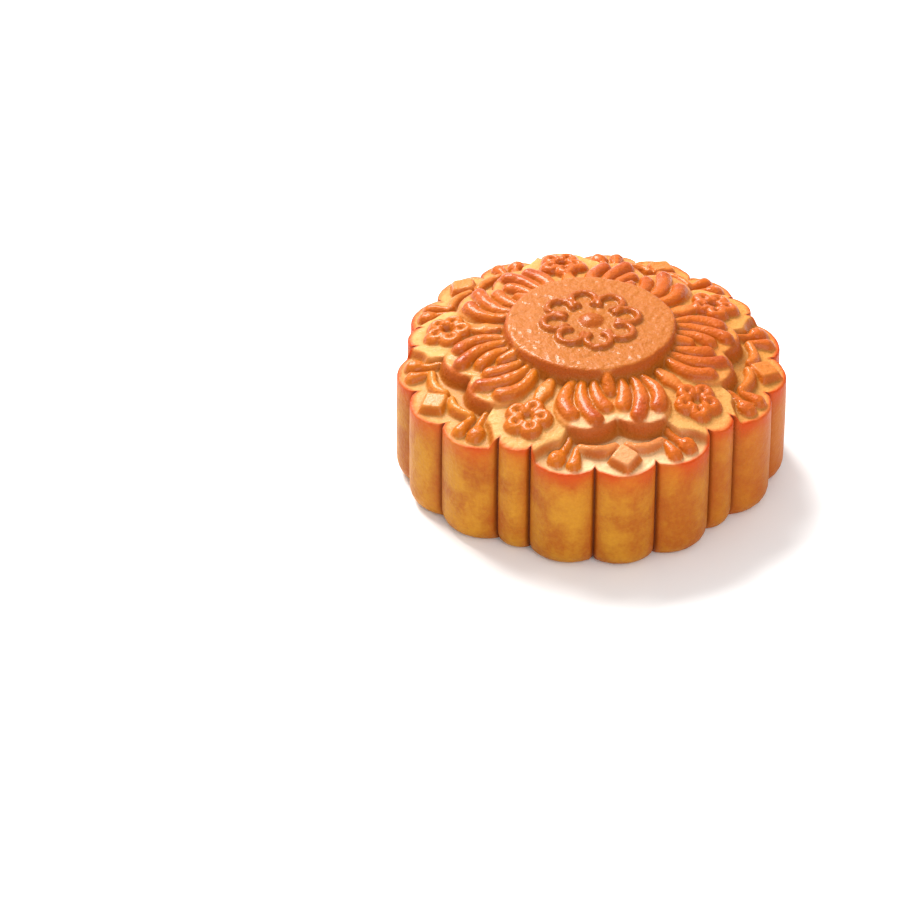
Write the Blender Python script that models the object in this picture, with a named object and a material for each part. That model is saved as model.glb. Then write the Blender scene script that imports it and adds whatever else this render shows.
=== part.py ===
"""A baked mooncake, one solid: a scalloped wall, a stepped dome and the ornament pressed into its top.

The cake has five equal sectors about its upright axis. Each sector holds a wide lobe of three
scallops and, between it and the next lobe, one narrow scallop that carries a small flower.
The origin is the centre of the flat base, +Z is up and the first lobe points to -Y.

Places in a sector are (u, v) in millimetres: u runs outward along the lobe's middle line and
v across it. Heights are millimetres above the base. The mesh is made in metres.
"""

import math

import bmesh
import bpy

MM = 0.001

# Driving dimensions
SECTORS = 5
SECTOR_ANGLE = 2 * math.pi / SECTORS
INNER_CUSP = (38.0, math.radians(9.55))  # radius and half angle of the lobe's two inner grooves
OUTER_CUSP = (36.3, math.radians(30.4))  # the same for the grooves beside the narrow scallop
MIDDLE_BULGE = 3.0  # how far each scallop swells beyond the chord between its grooves
SIDE_BULGE = 3.3
NARROW_BULGE = 1.6
SCALLOP_STEPS = 4
NARROW_STEPS = 3
SCARP = math.radians(0.25)  # the angle within which the skin drops from a narrow scallop to a lobe
WALL_REACH = 41.0  # the radius that the wall's insets are stated at
LOBE_RIM = 22.9  # height of the rim on a lobe
NARROW_RIM = 25.5  # height of the rim on a narrow scallop
DISC_RADIUS = 17.3
DISC_TOP = 32.8
DISC_CROWN = 0.4  # how far the disc rises to its middle
DISC_CHAMFER = 0.6
DISC_SIDES = 32

# The wall from the base up: height as a share of the rim's, and inset in millimetres
WALL_PROFILE = [(0.0, 2.8), (0.04, 1.1), (0.12, 0.2), (0.4, 0.0), (1.0, 0.8)]

# The upper terrace falls away as a paraboloid; the shelf on each lobe lies below it
TERRACE_MIDDLE = 30.1
TERRACE_FALL = (TERRACE_MIDDLE - NARROW_RIM) / OUTER_CUSP[0] ** 2
SHELF_START = (30.5, 24.8)  # distance from the axis, and height there
SHELF_SLOPE = 0.2
STEP_NEAR = 25.5  # distance of the step from the axis, under the pads
STEP_FAR = 30.3  # and beside them
STEP_TURN = (math.radians(17.0), math.radians(22.0))  # the angles between which it moves out

# Ornament
PAD_CENTRE = (23.4, 5.2)
PAD_RADIUS = 6.55
PAD_TOP = 28.7  # at the pad's centre
PAD_FALL = 0.12  # slope of its top, outward
PAD_SIDES = 11
PAD_CHAMFER = 0.5
# Three fingers on each pad: start, middle and end of their centre lines
FINGERS = [
    [(17.0, 6.6), (21.0, 9.15), (25.2, 8.5)],
    [(17.0, 5.0), (22.6, 5.7), (27.6, 4.3)],
    [(17.0, 2.7), (20.8, 2.85), (24.0, 1.9)],
]
FINGER_HALF_WIDTH = (1.0, 1.5)
FINGER_RISE = 1.15
STEM = [(16.6, 0.0), (20.8, 0.0)]
STEM_TOP = 30.6
STEM_HALF_WIDTH = (1.2, 1.2)
KNOB = (33.4, 13.0)
KNOB_RADIUS = 1.85
KNOB_TOP = 26.2
DOME_SIDES = 7
KNOB_STEM = [(29.4, 9.8), (31.2, 10.6), (33.0, 12.6)]
DROP = [(32.4, 8.4), (34.5, 9.4), (36.4, 10.6)]
CRESCENT_RADIUS = 10.1  # about the pad's centre
CRESCENT_SPAN = math.radians(27.0)
CRESCENT_MIDDLE = math.radians(-2.0)
DIAMOND = 35.7
DIAMOND_REACH = (3.5, 2.5)  # half diagonal at its foot and at its top
DIAMOND_RISE = 1.6
LEAF = (18.2, 24.6)
LEAF_HALF_WIDTH = 1.9
LEAF_RISE = 1.0
LEAF_POINTS = 4  # down each of its sides
LEAF_CHAMFER = 0.35
FLOWER_RADIUS = 29.2  # distance of the flower's centre from the axis
FLOWER_PETALS = 5
PETAL_CENTRE = 2.95  # from the flower's centre
PETAL_LOOP = 1.4
PETAL_HALF_WIDTH = 0.9
FLOWER_RISE = 1.5
LOOP_STEPS = 4  # of every petal, the rosette's too
LOOP_OPENING = math.radians(38.0)  # half the gap that a petal leaves towards its flower's centre

# The plain rosette on the disc
ROSETTE_PETALS = 8
ROSETTE_LOOP = 2.5
ROSETTE_CENTRE = 7.4
ROSETTE_HALF_WIDTH = 0.75
ROSETTE_RISE = 1.0
BUTTON_RADIUS = 2.6
BUTTON_RISE = 1.2

# Across a ridge: share of its half width, and share of its rise, with None for its root
FLAT_RIDGE = [(-1.0, None), (-0.6, 1.0), (0.6, 1.0), (1.0, None)]
SHARP_RIDGE = [(-1.0, None), (0.0, 1.0), (1.0, None)]
ROOT = 2.0  # how deep each ornament reaches into what it stands on
CRUST_COLOUR = (0.62, 0.27, 0.07, 1.0)


def smooth_share(low, high, value):
    """0 below low, 1 above high, and a smooth rise between them."""
    share = min(1.0, max(0.0, (value - low) / (high - low)))
    return share * share * (3 - 2 * share)


def place(sector, u, v, z):
    """A sector's (u, v) and height as a point in metres."""
    angle = -math.pi / 2 + sector * SECTOR_ANGLE
    x = u * math.cos(angle) - v * math.sin(angle)
    y = u * math.sin(angle) + v * math.cos(angle)
    return (x * MM, y * MM, z * MM)


def terrace(radius):
    """Height of the upper terrace at this distance from the axis."""
    return TERRACE_MIDDLE - TERRACE_FALL * radius**2


def shelf(radius):
    """Height of a lobe's lower shelf at this distance from the axis."""
    return SHELF_START[1] - SHELF_SLOPE * (radius - SHELF_START[0])


def pad_top(u, v):
    """Height of a pad's top, which falls outward."""
    return PAD_TOP - PAD_FALL * (math.hypot(u, v) - math.hypot(*PAD_CENTRE))


def polar(radius, angle):
    """A point from its distance and its angle off the sector's middle line."""
    return (radius * math.cos(angle), radius * math.sin(angle))


def arc(start, end, bulge, steps):
    """Points from start towards end, without end, on the circle that swells by bulge beyond their chord."""
    du, dv = end[0] - start[0], end[1] - start[1]
    half = math.hypot(du, dv) / 2
    radius = (half * half + bulge * bulge) / (2 * bulge)
    out = (dv / (2 * half), -du / (2 * half))
    centre = [(start[i] + end[i]) / 2 - out[i] * (radius - bulge) for i in range(2)]
    first = math.atan2(start[1] - centre[1], start[0] - centre[0])
    sweep = 2 * math.asin(min(1.0, half / radius))
    angles = [first + sweep * i / steps for i in range(steps)]
    return [(centre[0] + radius * math.cos(a), centre[1] + radius * math.sin(a)) for a in angles]


def sector_columns():
    """One sector's outline as (u, v, rim height, on the lobe), from groove to groove."""
    outer, inner = polar(*OUTER_CUSP), polar(*INNER_CUSP)
    low_outer, low_inner = (outer[0], -outer[1]), (inner[0], -inner[1])
    next_outer = polar(OUTER_CUSP[0], SECTOR_ANGLE - OUTER_CUSP[1])
    lobe = arc(low_outer, low_inner, SIDE_BULGE, SCALLOP_STEPS)
    lobe += arc(low_inner, inner, MIDDLE_BULGE, SCALLOP_STEPS)
    lobe += arc(inner, outer, SIDE_BULGE, SCALLOP_STEPS)
    lobe += [polar(OUTER_CUSP[0], OUTER_CUSP[1] - SCARP)]
    narrow = arc(outer, next_outer, NARROW_BULGE, NARROW_STEPS)
    narrow += [polar(OUTER_CUSP[0], SECTOR_ANGLE - OUTER_CUSP[1] - SCARP)]
    return [(u, v, LOBE_RIM, True) for u, v in lobe] + [(u, v, NARROW_RIM, False) for u, v in narrow]


def step_distance(angle, on_lobe):
    """Distance from the axis at which the terrace drops to the shelf, or would on a narrow scallop."""
    if not on_lobe:
        return STEP_FAR / math.cos(OUTER_CUSP[1])
    far = smooth_share(*STEP_TURN, abs(angle))
    return (STEP_NEAR + (STEP_FAR - STEP_NEAR) * far) / math.cos(angle)


def column_points(sector, u, v, rim, on_lobe):
    """The points of one upright line of the cake's skin, from its base to the hidden middle of its top."""
    points = []
    for share, inset in WALL_PROFILE:
        scale = 1 - inset / WALL_REACH
        points.append(place(sector, u * scale, v * scale, share * rim))
    reach, angle = math.hypot(u, v), math.atan2(v, u)
    step = step_distance(angle, on_lobe)
    foot = step + 0.5
    low = shelf(foot) if on_lobe else terrace(foot)
    hidden = 0.8 * DISC_RADIUS
    for radius, height in [(foot, low), (step, terrace(step)), (hidden, terrace(hidden))]:
        points.append(place(sector, u * radius / reach, v * radius / reach, height))
    return points


def mesh_object(name, points, faces):
    """A mesh object of these points and faces, with its normals turned outward."""
    mesh = bpy.data.meshes.new(name)
    mesh.from_pydata(points, [], faces)
    made = bmesh.new()
    made.from_mesh(mesh)
    bmesh.ops.recalc_face_normals(made, faces=made.faces)
    made.to_mesh(mesh)
    made.free()
    obj = bpy.data.objects.new(name, mesh)
    bpy.context.scene.collection.objects.link(obj)
    return obj


def lofted(name, rings):
    """A closed solid through rings of equal count, with a face over its first and its last ring."""
    count = len(rings[0])
    points = [p for ring in rings for p in ring]
    faces = [tuple(range(count)), tuple(range(count * (len(rings) - 1), count * len(rings)))]
    for row in range(len(rings) - 1):
        for i in range(count):
            j = (i + 1) % count
            below, above = row * count, (row + 1) * count
            faces.append((below + i, below + j, above + j, above + i))
    return mesh_object(name, points, faces)


def cake_body():
    """The wall, shelves and terrace, without ornament."""
    columns = [
        column_points(sector, *column)
        for sector in range(SECTORS)
        for column in sector_columns()
    ]
    return lofted("mooncake", list(zip(*columns)))


def curve_through(start, middle, end, steps):
    """Points on the quadratic curve that passes through three points."""
    bend = [2 * middle[i] - (start[i] + end[i]) / 2 for i in range(2)]
    points = []
    for n in range(steps + 1):
        t = n / steps
        shares = ((1 - t) ** 2, 2 * t * (1 - t), t * t)
        points.append(tuple(sum(s * p[i] for s, p in zip(shares, (start, bend, end))) for i in range(2)))
    return points


def ridge(sector, path, half_widths, foot, rise, section=SHARP_RIDGE):
    """A ridge along a path. foot is a function of (u, v); half_widths are those at its two ends."""
    count = len(path)
    rings = []
    for n in range(-1, count + 1):
        near = min(max(n, 0), count - 1)
        before, after = path[max(near - 1, 0)], path[min(near + 1, count - 1)]
        along = (after[0] - before[0], after[1] - before[1])
        length = math.hypot(*along)
        along = (along[0] / length, along[1] / length)
        width = half_widths[0] + (half_widths[1] - half_widths[0]) * near / (count - 1)
        u, v = path[near]
        share = 1.0
        if n != near:  # a rounded end, which reaches past the path by most of the ridge's half width
            push = 0.75 * width * (1 if n > near else -1)
            u, v = u + along[0] * push, v + along[1] * push
            width, share = 0.55 * width, 0.55
        low = foot(u, v)
        ring = []
        for across, height in section:
            z = low - ROOT if height is None else low + rise * share * height
            ring.append(place(sector, u - along[1] * across * width, v + along[0] * across * width, z))
        rings.append(ring)
    return lofted("ridge", rings)


def prism(sector, outline, top, chamfer, bottom):
    """An upright solid over an outline, with a sloping edge round its top. top is a function of (u, v)."""
    middle = [sum(p[i] for p in outline) / len(outline) for i in range(2)]
    rings = [[place(sector, u, v, bottom) for u, v in outline]]
    rings.append([place(sector, u, v, top(u, v) - chamfer) for u, v in outline])
    inner = []
    for u, v in outline:
        reach = math.hypot(u - middle[0], v - middle[1])
        scale = 1 - chamfer / reach
        inner.append((middle[0] + (u - middle[0]) * scale, middle[1] + (v - middle[1]) * scale))
    rings.append([place(sector, u, v, top(u, v)) for u, v in inner])
    return lofted("prism", rings)


def circle(centre, radius, sides, turn=0.0):
    """A ring of points about a centre."""
    angles = [turn + 2 * math.pi * i / sides for i in range(sides)]
    return [(centre[0] + radius * math.cos(a), centre[1] + radius * math.sin(a)) for a in angles]


def petal_loop(centre, direction, middle, loop):
    """A petal's outline: a round loop that stays open towards the flower's centre."""
    points = []
    for n in range(LOOP_STEPS + 1):
        angle = direction + math.pi + LOOP_OPENING + 2 * (math.pi - LOOP_OPENING) * n / LOOP_STEPS
        u = centre[0] + middle * math.cos(direction) + loop * math.cos(angle)
        v = centre[1] + middle * math.sin(direction) + loop * math.sin(angle)
        points.append((u, v))
    return points


def dome(sector, centre, radius, foot, top):
    """A low dome: a ring at its foot, one at its shoulder and one round its flat crown."""
    rings = [[place(sector, u, v, foot - ROOT) for u, v in circle(centre, radius, DOME_SIDES)]]
    for share, rise in [(1.0, 0.4), (0.6, 1.0)]:
        ring = circle(centre, radius * share, DOME_SIDES)
        rings.append([place(sector, u, v, foot + (top - foot) * rise) for u, v in ring])
    return lofted("dome", rings)


def disc_top(u, v):
    """Height of the disc, which is highest in its middle."""
    return DISC_TOP + DISC_CROWN * (1 - (math.hypot(u, v) / DISC_RADIUS) ** 2)


def disc_body():
    """The raised round disc in the middle of the top."""
    outline = circle((0, 0), DISC_RADIUS, DISC_SIDES, math.pi / DISC_SIDES)
    return prism(0, outline, disc_top, DISC_CHAMFER, terrace(0) - 3 * ROOT)


def rosette():
    """The disc's ornament: a ring of open petal loops round a button."""
    pieces = [dome(0, (0, 0), BUTTON_RADIUS, disc_top(0, 0), disc_top(0, 0) + BUTTON_RISE)]
    for n in range(ROSETTE_PETALS):
        direction = 2 * math.pi * n / ROSETTE_PETALS
        path = petal_loop((0, 0), direction, ROSETTE_CENTRE, ROSETTE_LOOP)
        widths = (ROSETTE_HALF_WIDTH, ROSETTE_HALF_WIDTH)
        pieces.append(ridge(0, path, widths, disc_top, ROSETTE_RISE))
    return pieces


def pads_with_fingers(sector):
    """The pair of round pads beside the disc, three fingers on each, and the stem between them."""
    pieces = []
    for side in (-1, 1):
        outline = circle((PAD_CENTRE[0], side * PAD_CENTRE[1]), PAD_RADIUS, PAD_SIDES, 0.1 * side)
        pieces.append(prism(sector, outline, pad_top, PAD_CHAMFER, LOBE_RIM - ROOT))
        for finger in FINGERS:
            path = curve_through(*[(u, side * v) for u, v in finger], 2)
            pieces.append(ridge(sector, path, FINGER_HALF_WIDTH, pad_top, FINGER_RISE, FLAT_RIDGE))
    rise = STEM_TOP - PAD_TOP
    pieces.append(ridge(sector, STEM, STEM_HALF_WIDTH, lambda u, v: PAD_TOP, rise, FLAT_RIDGE))
    return pieces


def shelf_ornament(sector):
    """A lobe's knobs with their stems, drops, crescents and diamond."""
    def low(u, v):
        return shelf(math.hypot(u, v))
    pieces = []
    for side in (-1, 1):
        knob = (KNOB[0], side * KNOB[1])
        pieces.append(dome(sector, knob, KNOB_RADIUS, low(*knob), KNOB_TOP))
        stem = curve_through(*[(u, side * v) for u, v in KNOB_STEM], 2)
        pieces.append(ridge(sector, stem, (0.8, 0.7), low, 1.2))
        drop = curve_through(*[(u, side * v) for u, v in DROP], 2)
        pieces.append(ridge(sector, drop, (0.5, 1.25), low, 1.4))
        path = []
        for n in range(4):
            angle = side * (CRESCENT_MIDDLE + CRESCENT_SPAN * (2 * n / 3 - 1))
            path.append((
                PAD_CENTRE[0] + CRESCENT_RADIUS * math.cos(angle),
                side * PAD_CENTRE[1] + CRESCENT_RADIUS * math.sin(angle),
            ))
        pieces.append(ridge(sector, path, (0.95, 0.95), low, 1.4))
    foot, top = DIAMOND_REACH
    rings = []
    for reach, height in [(foot, -ROOT), (foot, 0.2), (top, DIAMOND_RISE)]:
        square = circle((DIAMOND, 0), reach, 4)
        rings.append([place(sector, u, v, low(DIAMOND, 0) + height) for u, v in square])
    pieces.append(lofted("diamond", rings))
    return pieces


def flower_and_leaf(sector):
    """The flower on the narrow scallop after this sector's lobe, and the leaf between it and the disc."""
    def ground(u, v):
        return terrace(math.hypot(u, v))
    middle = SECTOR_ANGLE / 2
    centre = polar(FLOWER_RADIUS, middle)
    pieces = []
    for n in range(FLOWER_PETALS):
        direction = middle + math.pi + 2 * math.pi * n / FLOWER_PETALS
        path = petal_loop(centre, direction, PETAL_CENTRE, PETAL_LOOP)
        pieces.append(ridge(sector, path, (PETAL_HALF_WIDTH, PETAL_HALF_WIDTH), ground, FLOWER_RISE))
    shares = [n / (LEAF_POINTS - 1) for n in range(LEAF_POINTS)]
    path = [polar(LEAF[0] + (LEAF[1] - LEAF[0]) * share, middle) for share in shares]
    widths = [LEAF_HALF_WIDTH * math.sin(math.pi * (0.15 + 0.7 * share)) for share in shares]
    outline = [offset_point(p, middle, width) for p, width in zip(path, widths)]
    outline += [offset_point(p, middle, -width) for p, width in zip(reversed(path), reversed(widths))]
    def top(u, v):
        return ground(u, v) + LEAF_RISE
    pieces.append(prism(sector, outline, top, LEAF_CHAMFER, terrace(LEAF[0]) - 2 * ROOT))
    return pieces


def offset_point(point, direction, distance):
    """The point moved sideways from a direction."""
    return (point[0] - math.sin(direction) * distance, point[1] + math.cos(direction) * distance)


def joined(body, pieces):
    """The body with every piece united to it, as one closed mesh."""
    for piece in pieces:
        union = body.modifiers.new("union", "BOOLEAN")
        union.operation = "UNION"
        union.solver = "MANIFOLD"
        union.object = piece
        graph = bpy.context.evaluated_depsgraph_get()
        made = bpy.data.meshes.new_from_object(body.evaluated_get(graph))
        body.modifiers.remove(union)
        body.data = made
        bpy.data.objects.remove(piece)
    return body


def without_splinters(mesh):
    """The mesh's largest surface alone, without the slivers left where two ridges graze each other."""
    made = bmesh.new()
    made.from_mesh(mesh)
    surfaces, left = [], set(made.verts)
    while left:
        reached, edge = set(), {left.pop()}
        while edge:
            reached |= edge
            edge = {e.other_vert(v) for v in edge for e in v.link_edges} - reached
        left -= reached
        surfaces.append(reached)
    surfaces.sort(key=len)
    bmesh.ops.delete(made, geom=[v for surface in surfaces[:-1] for v in surface], context="VERTS")
    made.to_mesh(mesh)
    made.free()


def crust_material():
    """Golden baked crust."""
    material = bpy.data.materials.new("crust")
    material.use_nodes = True
    shader = material.node_tree.nodes["Principled BSDF"]
    shader.inputs["Base Color"].default_value = CRUST_COLOUR
    shader.inputs["Roughness"].default_value = 0.45
    shader.inputs["Metallic"].default_value = 0.0
    return material


def main():
    """Builds the mooncake in an empty scene."""
    for obj in list(bpy.data.objects):
        bpy.data.objects.remove(obj)
    body = cake_body()
    joined(body, [disc_body()])
    for sector in range(SECTORS):
        joined(body, pads_with_fingers(sector))
        joined(body, shelf_ornament(sector))
        joined(body, flower_and_leaf(sector))
    joined(body, rosette())
    without_splinters(body.data)
    body.name = "mooncake"
    body.data.name = "mooncake"
    body.data.materials.clear()
    body.data.materials.append(crust_material())
    body.data.shade_smooth()
    body.data.set_sharp_from_angle(angle=math.radians(35.0))


main()
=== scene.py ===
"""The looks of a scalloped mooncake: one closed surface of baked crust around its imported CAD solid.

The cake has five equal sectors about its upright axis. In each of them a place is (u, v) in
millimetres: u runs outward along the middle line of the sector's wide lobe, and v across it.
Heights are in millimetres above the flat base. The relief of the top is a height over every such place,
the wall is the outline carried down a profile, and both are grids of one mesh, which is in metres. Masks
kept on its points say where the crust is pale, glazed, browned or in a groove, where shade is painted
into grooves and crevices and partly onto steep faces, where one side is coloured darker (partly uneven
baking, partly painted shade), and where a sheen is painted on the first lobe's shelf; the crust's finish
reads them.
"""

import logging
import math
from collections.abc import Callable
from dataclasses import dataclass, field
from enum import Enum

import bpy
import numpy as np
from mathutils import Matrix, Vector


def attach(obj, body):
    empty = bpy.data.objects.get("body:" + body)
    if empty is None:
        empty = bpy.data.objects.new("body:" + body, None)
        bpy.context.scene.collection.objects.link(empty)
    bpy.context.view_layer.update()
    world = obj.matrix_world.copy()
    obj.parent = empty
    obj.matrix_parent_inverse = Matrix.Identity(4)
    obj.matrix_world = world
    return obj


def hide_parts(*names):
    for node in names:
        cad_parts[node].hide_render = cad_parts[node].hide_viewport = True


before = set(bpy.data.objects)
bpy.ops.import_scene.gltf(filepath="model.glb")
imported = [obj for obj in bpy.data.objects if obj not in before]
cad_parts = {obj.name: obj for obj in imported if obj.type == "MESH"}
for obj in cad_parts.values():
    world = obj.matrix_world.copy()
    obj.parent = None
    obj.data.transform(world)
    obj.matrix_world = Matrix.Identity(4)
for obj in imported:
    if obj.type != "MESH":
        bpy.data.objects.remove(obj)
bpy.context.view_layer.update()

MM = 0.001  # metres
NODE = "mooncake"
BODY = "root"
SECTORS = 5
SECTOR_ANGLE = 2 * math.pi / SECTORS
MASKS = ("glaze", "bake", "side", "rim", "groove", "crevice_tone_and_shade", "face", "disc", "shelf", "bake_and_shade_side")
Places = np.ndarray

log = logging.getLogger("mooncake")


class Seed(Enum):
    """The pattern of each uneven surface, as the seed of its noise."""

    ACROSS = 3
    ALONG = 4
    SWELL = 11
    DIMPLE = 12
    WRINKLE = 13
    STRENGTH = 21
    WALL_WIDE = 31
    WALL_FINE = 32


def smooth_step(low: float, high: float, value: Places) -> Places:
    """A smooth share: 0 below low, 1 above high, and 3 s^2 - 2 s^3 of the share s between them.

    Args:
        low: The value at which the rise starts.
        high: The value at which it ends.
        value: The values to turn into shares.

    Returns:
        The share for each value.
    """
    share = np.clip((value - low) / (high - low), 0.0, 1.0)
    return share * share * (3 - 2 * share)


def smooth_max(first: Places, second: Places, width: float) -> Places:
    """The larger of two heights, with a fillet where they cross.

    The fillet adds h^2 / (4 width), where h is how much width exceeds the heights' difference.

    Args:
        first: One set of heights.
        second: The other.
        width: The difference in height over which the fillet reaches.

    Returns:
        The blended heights.
    """
    reach = np.maximum(width - np.abs(first - second), 0.0)
    return np.maximum(first, second) + reach * reach / (4 * width)


def lattice(corner: Places, seed: int) -> Places:
    """A repeatable random value from -1 to 1 for each whole-numbered corner of a cubic lattice.

    The three numbers are multiplied by large primes, joined by exclusive or, and stirred twice by
    shifts and a multiplication.

    Args:
        corner: Whole numbers, one row of three for each corner.
        seed: Chooses the pattern.

    Returns:
        One value for each row.
    """
    whole = corner.astype(np.int64).astype(np.uint64)
    mixed = (whole[:, 0] * np.uint64(73856093)) ^ (whole[:, 1] * np.uint64(19349663))
    mixed ^= (whole[:, 2] * np.uint64(83492791)) ^ np.uint64(seed * 2654435761)
    mixed &= np.uint64(0xFFFFFFFF)
    for _ in range(2):
        mixed ^= mixed >> np.uint64(15)
        mixed = (mixed * np.uint64(2246822519)) & np.uint64(0xFFFFFFFF)
    mixed ^= mixed >> np.uint64(13)
    return mixed.astype(float) / 0x7FFFFFFF - 1.0


def smooth_noise(points: Places, pitch: float, seed: int) -> Places:
    """Smooth random values: lattice values joined by a quintic ease along each of the three axes.

    Args:
        points: Places in millimetres, one row of three for each.
        pitch: The lattice's spacing in millimetres.
        seed: Chooses the pattern.

    Returns:
        A value from -1 to 1 for each place.
    """
    scaled = points / pitch + 1000.0
    low = np.floor(scaled)
    part = scaled - low
    ease = part**3 * (part * (part * 6 - 15) + 10)
    total = np.zeros(len(points))
    for corner in np.ndindex(2, 2, 2):
        offset = np.array(corner)
        weight = np.prod(np.where(offset == 1, ease, 1 - ease), axis=1)
        total += weight * lattice(low + offset, seed)
    return total


def curve_through(start: Places, middle: Places, end: Places, count: int) -> Places:
    """Points on the quadratic curve that passes through three places at shares 0, 1/2 and 1.

    Args:
        start: The first place.
        middle: The place half way.
        end: The last place.
        count: How many points.

    Returns:
        One row for each point.
    """
    start, middle, end = (np.asarray(place, float) for place in (start, middle, end))
    bend = 2 * middle - (start + end) / 2
    share = np.linspace(0.0, 1.0, count)[:, None]
    return (1 - share) ** 2 * start + 2 * share * (1 - share) * bend + share**2 * end


def nearest_on(path: Places, u: Places, v: Places) -> tuple[Places, Places]:
    """Distance from each place to a chain of points, and the share of the chain at the nearest point.

    On each stretch the nearest point is the place's projection, held between the stretch's ends.

    Args:
        path: The chain, one row of two for each point.
        u: The places' first coordinate.
        v: Their second coordinate.

    Returns:
        The distances, and the shares from 0 to 1.
    """
    start, along = path[:-1], np.diff(path, axis=0)
    offset = np.stack([u, v], axis=1)[:, None, :] - start[None]
    share = np.clip((offset * along).sum(2) / (along * along).sum(1), 0.0, 1.0)
    gap = offset - share[..., None] * along
    squared = (gap * gap).sum(2)
    nearest = squared.argmin(1)
    row = np.arange(len(u))
    return np.sqrt(squared[row, nearest]), (nearest + share[row, nearest]) / len(start)


def petal_loop(middle: float, loop: float, opening: float, turn: float, stretches: int) -> Places:
    """The line of a looped petal: a circle left open towards the flower's middle.

    Args:
        middle: Distance of the circle's centre from the flower's.
        loop: The circle's radius.
        opening: Half of the angle left open.
        turn: The petal's direction from the flower's middle.
        stretches: How many straight stretches the line has.

    Returns:
        Its points, one row of two for each, about the flower's middle.
    """
    sweep = np.linspace(opening, 2 * math.pi - opening, stretches + 1) + turn + math.pi
    along = middle * math.cos(turn) + loop * np.cos(sweep)
    across = middle * math.sin(turn) + loop * np.sin(sweep)
    return np.stack([along, across], axis=1)


@dataclass(frozen=True)
class Outline:
    """The scalloped outline seen from above: arcs that meet in grooves, alike in every sector.

    A groove is stated by its distance from the axis and its angle off the lobe's middle line.
    """

    inner: tuple[float, float] = (38.0, math.radians(9.55))  # the groove beside a lobe's middle flute
    outer: tuple[float, float] = (36.3, math.radians(30.4))  # the groove at the end of a lobe
    middle_bulge: float = 3.0
    side_bulge: float = 3.3
    narrow_bulge: float = 1.6
    skin: float = 0.16  # how far the crust stays inside the CAD solid
    cut_depth: float = 0.6  # of the fine crease at the bottom of each groove
    cut_reach: float = 0.38  # how far the crease spreads round the wall
    arc_lengths: tuple[float, ...] = (6.6, 14.4, 7.8, 14.4, 6.6)  # between a sector's grooves, in turn

    @staticmethod
    def folded(angle: Places) -> Places:
        """Angles about the axis from +X, as angles off the nearest lobe's middle line, without sign."""
        turned = np.mod(angle + math.pi / 2 + SECTOR_ANGLE / 2, SECTOR_ANGLE)
        return np.abs(turned - SECTOR_ANGLE / 2)

    @staticmethod
    def arc(
        start: tuple[float, float], end: tuple[float, float], bulge: float
    ) -> tuple[float, float, float]:
        """The circle through two grooves whose arc swells by bulge beyond their chord.

        Its radius is (h^2 + bulge^2) / (2 bulge), where h is half of the chord.

        Args:
            start: The first groove, as distance and angle.
            end: The second groove.
            bulge: The swell in millimetres.

        Returns:
            The centre's distance from the axis, its angle, and the radius.
        """
        first, last = (np.array([r * math.cos(a), r * math.sin(a)]) for r, a in (start, end))
        chord = last - first
        half = np.linalg.norm(chord) / 2
        radius = (half**2 + bulge**2) / (2 * bulge)
        outward = np.array([chord[1], -chord[0]]) / (2 * half)
        centre = (first + last) / 2 - outward * (radius - bulge)
        return float(np.hypot(*centre)), math.atan2(centre[1], centre[0]), float(radius)

    def reach(self, angle: Places) -> Places:
        """Distance from the axis to the outline.

        On an arc it is c cos(d) + sqrt(r^2 - c^2 sin^2(d)), with c the distance of the arc's centre,
        r its radius and d the angle between the centre and the place.

        Args:
            angle: Angles about the axis from +X.

        Returns:
            The distances in millimetres.
        """
        off = self.folded(angle)
        next_outer = (self.outer[0], SECTOR_ANGLE - self.outer[1])
        arcs = [
            self.arc((self.inner[0], -self.inner[1]), self.inner, self.middle_bulge),
            self.arc(self.inner, self.outer, self.side_bulge),
            self.arc(self.outer, next_outer, self.narrow_bulge),
        ]
        found = []
        for centre, turn, radius in arcs:
            across = np.minimum((centre * np.sin(off - turn)) ** 2, radius**2)
            found.append(centre * np.cos(off - turn) + np.sqrt(radius**2 - across))
        reach = np.select([off < self.inner[1], off < self.outer[1]], found[:2], found[2])
        cut = self.cut_depth * np.exp(-((self.to_groove(angle) / self.cut_reach) ** 2))
        return reach - self.skin - cut

    def to_groove(self, angle: Places) -> Places:
        """Distance in millimetres, round the wall, to the nearest groove.

        Args:
            angle: Angles about the axis from +X.

        Returns:
            The distances.
        """
        off = self.folded(angle)
        gaps = [np.abs(off - turn) * distance for distance, turn in (self.inner, self.outer)]
        return np.minimum(*gaps)

    def columns(self, count: int) -> Places:
        """Angles of the wall's columns, from the first lobe's middle line, with one in every groove.

        Args:
            count: How many columns; a multiple of the number of sectors.

        Returns:
            Angles about the axis from +X, with the first one repeated at the end, a full turn on.
        """
        each = count // SECTORS
        turns = np.array([0.0, self.inner[1], self.outer[1]])
        stops = np.concatenate([turns, SECTOR_ANGLE - turns[::-1]])
        lengths = np.array(self.arc_lengths)
        places = np.concatenate([[0.0], np.cumsum(lengths)]) / lengths.sum()
        local = np.interp(np.arange(each) / each, np.round(places * each) / each, stops)
        whole = np.concatenate([local + k * SECTOR_ANGLE for k in range(SECTORS)])
        return np.append(whole, 2 * math.pi) - math.pi / 2


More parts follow.
